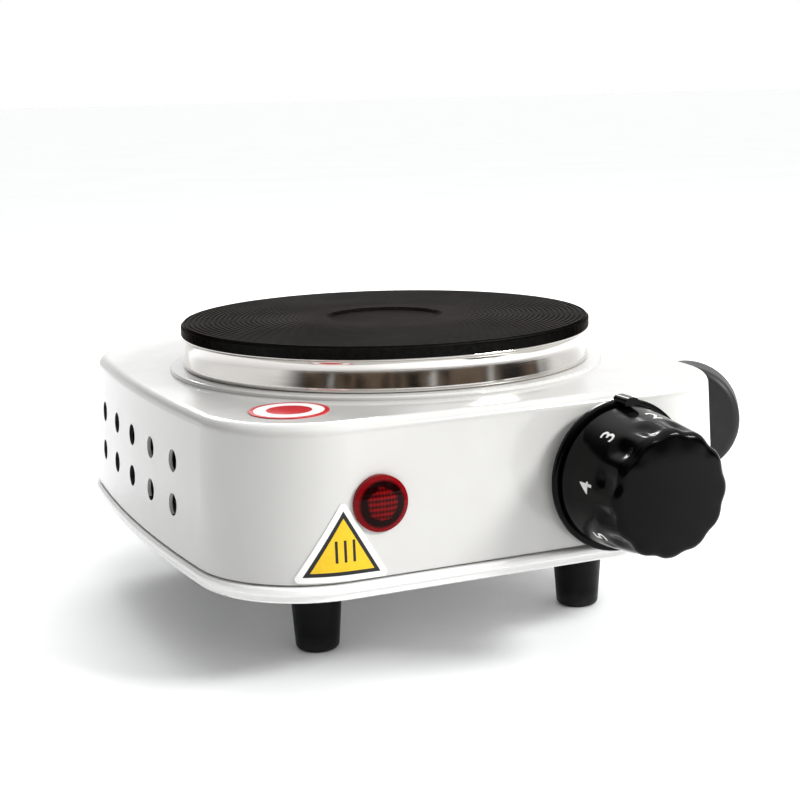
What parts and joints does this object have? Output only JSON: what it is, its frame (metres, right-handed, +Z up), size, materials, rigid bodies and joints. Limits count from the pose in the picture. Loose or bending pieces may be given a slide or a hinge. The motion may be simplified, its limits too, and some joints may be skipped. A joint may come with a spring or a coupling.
{
  "type": "hot plate burner",
  "caption": "Compact electric hot plate: enamelled steel housing on tapered feet, round cast-iron plate in a bright ring, fluted heat control knob, indicator lamp and cord with a round plug.",
  "frame": {"origin": "middle of the footprint of the appliance with its knob and without its cord, on the table", "axes": "+Z up, -Y towards the user (the side with the knob and the lamp), +X to the right seen from the front"},
  "size_m": [0.219, 0.2678, 0.069],
  "materials": {
    "enamel_white": "gloss white enamel",
    "cast_iron": "satin black heat-proof coating",
    "bright_steel": "bright",
    "zinc_steel": "zinc plated",
    "black_plastic": "gloss black phenolic",
    "black_moulding": "satin black moulding",
    "black_rubber": "matt",
    "red_lens": "clear red",
    "lamp_glass": "clear",
    "steatite": "unglazed ceramic",
    "resistance_wire": "oxidised",
    "brass": "turned",
    "fibre_pad": "pressed mineral fibre",
    "block_plastic": "natural polyamide",
    "wire_blue": "silicone sleeve",
    "wire_brown": "silicone sleeve",
    "wire_green": "silicone sleeve",
    "label_film": "printed film"
  },
  "bodies": {
    "housing": {"base_pan": "enamel_white", "centre_stud": "zinc_steel", "clamp_bridge": "zinc_steel", "coil_cement": "steatite", "cord_clamp_base": "black_moulding", "cord_clamp_cap": "black_moulding", "cord_clamp_screws": "zinc_steel", "cord_coil": "black_moulding", "cord_gland": "black_moulding", "cord_sheath_end": "black_moulding", "earth_screw": "brass", "earth_wire": "wire_green", "element_terminals": "zinc_steel", "foot_front_left": "black_rubber", "foot_front_right": "black_rubber", "foot_rear_left": "black_rubber", "foot_rear_right": "black_rubber", "foot_screws": "zinc_steel", "front_cross_strap": "zinc_steel", "fuse_lead": "wire_brown", "heat_label": "label_film", "heat_shield": "bright_steel", "heating_coil": "resistance_wire", "hotplate_casting": "cast_iron", "indicator_clip": "zinc_steel", "indicator_holder": "black_moulding", "indicator_lens": "red_lens", "insulation_pad": "fibre_pad", "knob_bezel": "black_plastic", "lamp_wires": "wire_blue", "live_wire": "wire_brown", "neon_lamp": "lamp_glass", "neutral_wire": "wire_blue", "plate_back_cover": "zinc_steel", "plug_body": "black_moulding", "plug_pins": "zinc_steel", "power_cord": "black_moulding", "rear_cross_strap": "zinc_steel", "shield_nut": "zinc_steel", "stud_nut": "zinc_steel", "stud_washer": "zinc_steel", "supply_cores": "wire_brown", "switched_wire": "wire_brown", "terminal_beads": "steatite", "terminal_block": "block_plastic", "terminal_screws": "zinc_steel", "thermal_fuse": "zinc_steel", "thermostat_bimetal": "zinc_steel", "thermostat_body": "steatite", "thermostat_bush": "brass", "thermostat_contacts": "zinc_steel", "thermostat_nut": "zinc_steel", "top_label": "label_film", "top_shell": "enamel_white", "trim_ring": "bright_steel"},
    "knob": {"knob": "black_plastic", "knob_clip": "zinc_steel", "thermostat_spindle": "zinc_steel"}
  },
  "joints": [
    {"name": "knob_turn", "type": "hinge", "parent": "housing", "child": "knob", "pos_m": [0.025, -0.05878, 0.04], "axis": [0, 1, 0], "range_deg": [-99, 131]}
  ]
}
